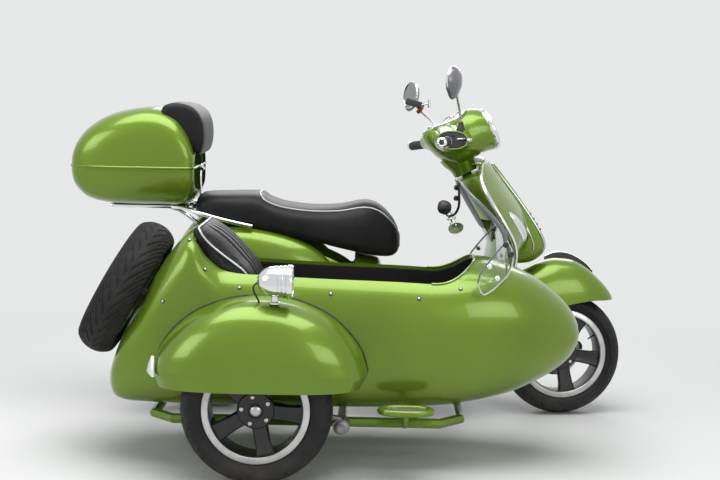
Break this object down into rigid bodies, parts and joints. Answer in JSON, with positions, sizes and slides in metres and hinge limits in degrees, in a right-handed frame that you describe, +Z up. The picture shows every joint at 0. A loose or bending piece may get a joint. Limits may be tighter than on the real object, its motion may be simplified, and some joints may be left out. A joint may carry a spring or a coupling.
{
  "type": "sidecar scooter",
  "caption": "Step-through scooter with a sidecar on its right side, with spare wheel, windscreen, rear case and working steering, wheels, seat and case lid.",
  "frame": {"origin": "middle of the bounding box on the ground, at rest", "axes": "+X forwards, +Y to the rider's left, away from the sidecar, +Z up; the wheels stand on z = 0"},
  "size_m": [2.1275, 1.4706, 1.3617],
  "materials": {
    "green_paint": "glossy metallic",
    "black_plastic": "satin",
    "tyre_rubber": "matt",
    "black_alloy": "satin black",
    "chrome": "polished",
    "cast_metal": "cast, satin",
    "black_steel": "satin black",
    "vinyl": "grained, satin",
    "clear_lens": "clear",
    "red_lens": "glossy",
    "clear_sheet": "clear"
  },
  "bodies": {
    "scooter": {"bulb_horn": "chrome", "case_tray": "green_paint", "cowl_left": "green_paint", "cowl_right": "green_paint", "engine_unit": "cast_metal", "fender_lamp": "chrome", "floor_board": "black_plastic", "knee_panel": "black_plastic", "leg_shield": "green_paint", "nose_cover": "green_paint", "rear_body": "green_paint", "rear_mudguard": "black_plastic", "rear_rack": "chrome", "shock_left": "black_plastic", "shock_right": "black_plastic", "sidecar_chassis": "green_paint", "sidecar_fender": "green_paint", "sidecar_hull": "green_paint", "sidecar_mount": "cast_metal", "sidecar_seat_back": "vinyl", "sidecar_seat_cushion": "vinyl", "sidecar_step": "green_paint", "sidecar_swing_arm": "cast_metal", "silencer": "black_steel", "spare_carrier": "cast_metal", "spare_rim": "black_alloy", "spare_tyre": "tyre_rubber", "tail_lamp": "red_lens", "windscreen": "clear_sheet"},
    "steering": {"steering_column": "cast_metal", "front_link": "cast_metal", "front_damper": "black_plastic", "front_fender": "green_paint", "headset": "green_paint", "headlamp": "clear_lens", "handlebar": "black_plastic", "lever_left": "chrome", "lever_right": "chrome", "mirror_left": "chrome", "mirror_right": "chrome"},
    "front_wheel": {"front_tyre": "tyre_rubber", "front_rim": "black_alloy"},
    "rear_wheel": {"rear_tyre": "tyre_rubber", "rear_rim": "black_alloy"},
    "sidecar_wheel": {"sidecar_tyre": "tyre_rubber", "sidecar_rim": "black_alloy"},
    "seat": {"seat": "vinyl"},
    "case_lid": {"case_lid": "green_paint", "case_pad": "vinyl"}
  },
  "joints": [
    {"name": "steering", "type": "hinge", "parent": "scooter", "child": "steering", "pos_m": [0.6628, 0.38625, 0.5], "axis": [-0.454, 0, 0.891], "range_deg": [-44, 28]},
    {"name": "front_wheel_spin", "type": "hinge", "parent": "steering", "child": "front_wheel", "pos_m": [0.82751, 0.39048, 0.23625], "axis": [-0.1378, 0.988, -0.0702], "continuous": true},
    {"name": "rear_wheel_spin", "type": "hinge", "parent": "scooter", "child": "rear_wheel", "pos_m": [-0.5422, 0.38625, 0.2434], "axis": [0, 1, 0], "continuous": true},
    {"name": "sidecar_wheel_spin", "type": "hinge", "parent": "scooter", "child": "sidecar_wheel", "pos_m": [-0.2732, -0.64235, 0.2434], "axis": [0, 1, 0], "continuous": true},
    {"name": "seat_hinge", "type": "hinge", "parent": "scooter", "child": "seat", "pos_m": [0.1798, 0.38625, 0.6], "axis": [0, 1, 0], "range_deg": [0, 50]},
    {"name": "case_lid_hinge", "type": "hinge", "parent": "scooter", "child": "case_lid", "pos_m": [-0.5782, 0.38625, 0.932], "axis": [0, 1, 0], "range_deg": [0, 70]}
  ]
}
